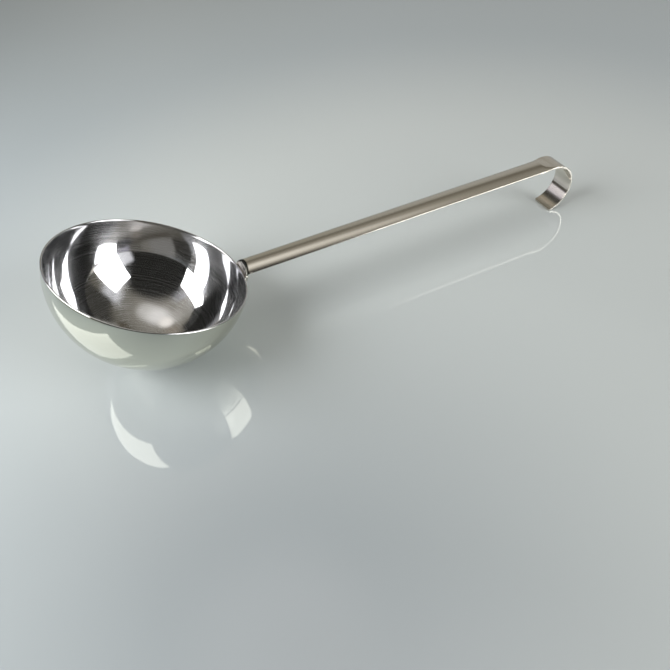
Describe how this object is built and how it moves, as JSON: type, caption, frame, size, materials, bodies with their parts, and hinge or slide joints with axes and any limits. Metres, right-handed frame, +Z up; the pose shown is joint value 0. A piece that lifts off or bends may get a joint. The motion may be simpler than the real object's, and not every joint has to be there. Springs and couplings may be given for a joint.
{
  "type": "soup ladle",
  "caption": "Serving ladle with a hemispherical stainless steel bowl and a channelled strip handle that is rolled down to a hanging hook.",
  "frame": {"origin": "middle of the ladle's outline, on the table that it rests on", "axes": "+X along the handle from the bowl to the hook, +Z up in the resting pose, Y across; the XZ plane halves the ladle"},
  "size_m": [0.5118, 0.16, 0.1104],
  "materials": {
    "polished_steel": "sheet stainless steel, polished to a mirror outside and turned to a fine circular grain inside",
    "satin_steel": "satin stainless steel strip with a fine grain along its length",
    "weld_metal": "bare weld metal, hidden between the two sheets"
  },
  "bodies": {
    "root": {"bowl": "polished_steel", "handle": "satin_steel", "spot_welds": "weld_metal"}
  },
  "joints": []
}
